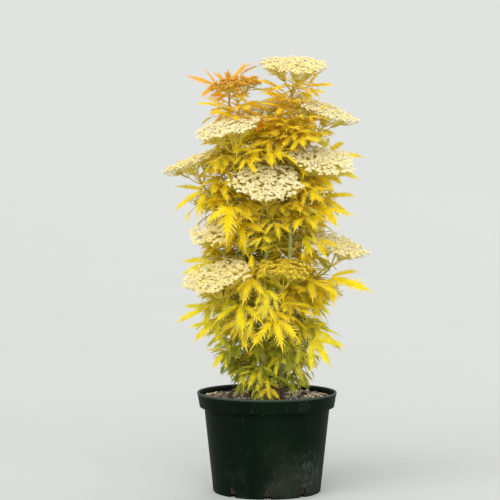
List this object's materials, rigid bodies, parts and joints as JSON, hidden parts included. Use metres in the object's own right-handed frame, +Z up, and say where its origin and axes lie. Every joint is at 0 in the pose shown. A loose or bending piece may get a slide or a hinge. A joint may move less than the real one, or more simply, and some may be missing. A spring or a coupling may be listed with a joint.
{
  "type": "potted golden elder shrub",
  "caption": "Golden cut-leaved elder shrub in a round nursery container: a clump of upright canes with pinnate leaves and flat heads of small cream flowers.",
  "frame": {"origin": "centre of the container's flat underside", "axes": "+Z up, -Y towards the front of the plant as pictured, +X to its right-hand side in that view"},
  "size_m": [0.4212, 0.3685, 0.8715],
  "materials": {
    "pot": "moulded dark green-black, dusty low down",
    "soil": "bark chips and compost",
    "cane": "grey-green bark, brown at the foot",
    "foliage": "golden yellow leaves",
    "flower": "cream flowers on green-yellow rays",
    "young": "orange young leaves and buds"
  },
  "bodies": {
    "root": {"pot": "pot", "soil": "soil", "cane_front": "cane", "cane_right_front": "cane", "cane_left": "cane", "cane_right": "cane", "cane_back_right": "cane", "cane_back_left": "cane", "cane_middle": "cane", "flower_top_right": "flower", "flower_top_left": "young", "young_shoot": "young", "flower_top_middle": "flower", "flower_upper_right": "flower", "flower_front": "flower", "flower_top_back_right": "flower", "flower_top_back_left": "flower", "flower_upper_left": "flower", "flower_left": "flower", "flower_right": "flower", "flower_middle_left": "flower", "flower_middle_right": "flower", "flower_lower_left": "flower", "flower_lower_front": "flower", "flower_back_right": "flower", "flower_back_left": "flower", "flower_back": "flower", "flower_lower_back": "flower", "leaves_front_1": "foliage", "leaves_front_2": "foliage", "leaves_front_3": "foliage", "leaves_front_4": "foliage", "leaves_right_front_1": "foliage", "leaves_right_front_2": "foliage", "leaves_right_front_3": "foliage", "leaves_right_front_4": "foliage", "leaves_right_front_5": "foliage", "leaves_right_front_6": "foliage", "leaves_right_front_7": "foliage", "leaves_left_1": "foliage", "leaves_left_2": "foliage", "leaves_left_3": "foliage", "leaves_left_4": "foliage", "leaves_left_5": "foliage", "leaves_left_6": "foliage", "leaves_left_7": "foliage", "leaves_left_8": "foliage", "leaves_right_1": "foliage", "leaves_right_2": "foliage", "leaves_right_3": "foliage", "leaves_right_4": "foliage", "leaves_right_5": "foliage", "leaves_back_right_1": "foliage", "leaves_back_right_2": "foliage", "leaves_back_right_3": "foliage", "leaves_back_right_4": "foliage", "leaves_back_left_1": "foliage", "leaves_back_left_2": "foliage", "leaves_back_left_3": "foliage", "leaves_back_left_4": "foliage"}
  },
  "joints": []
}
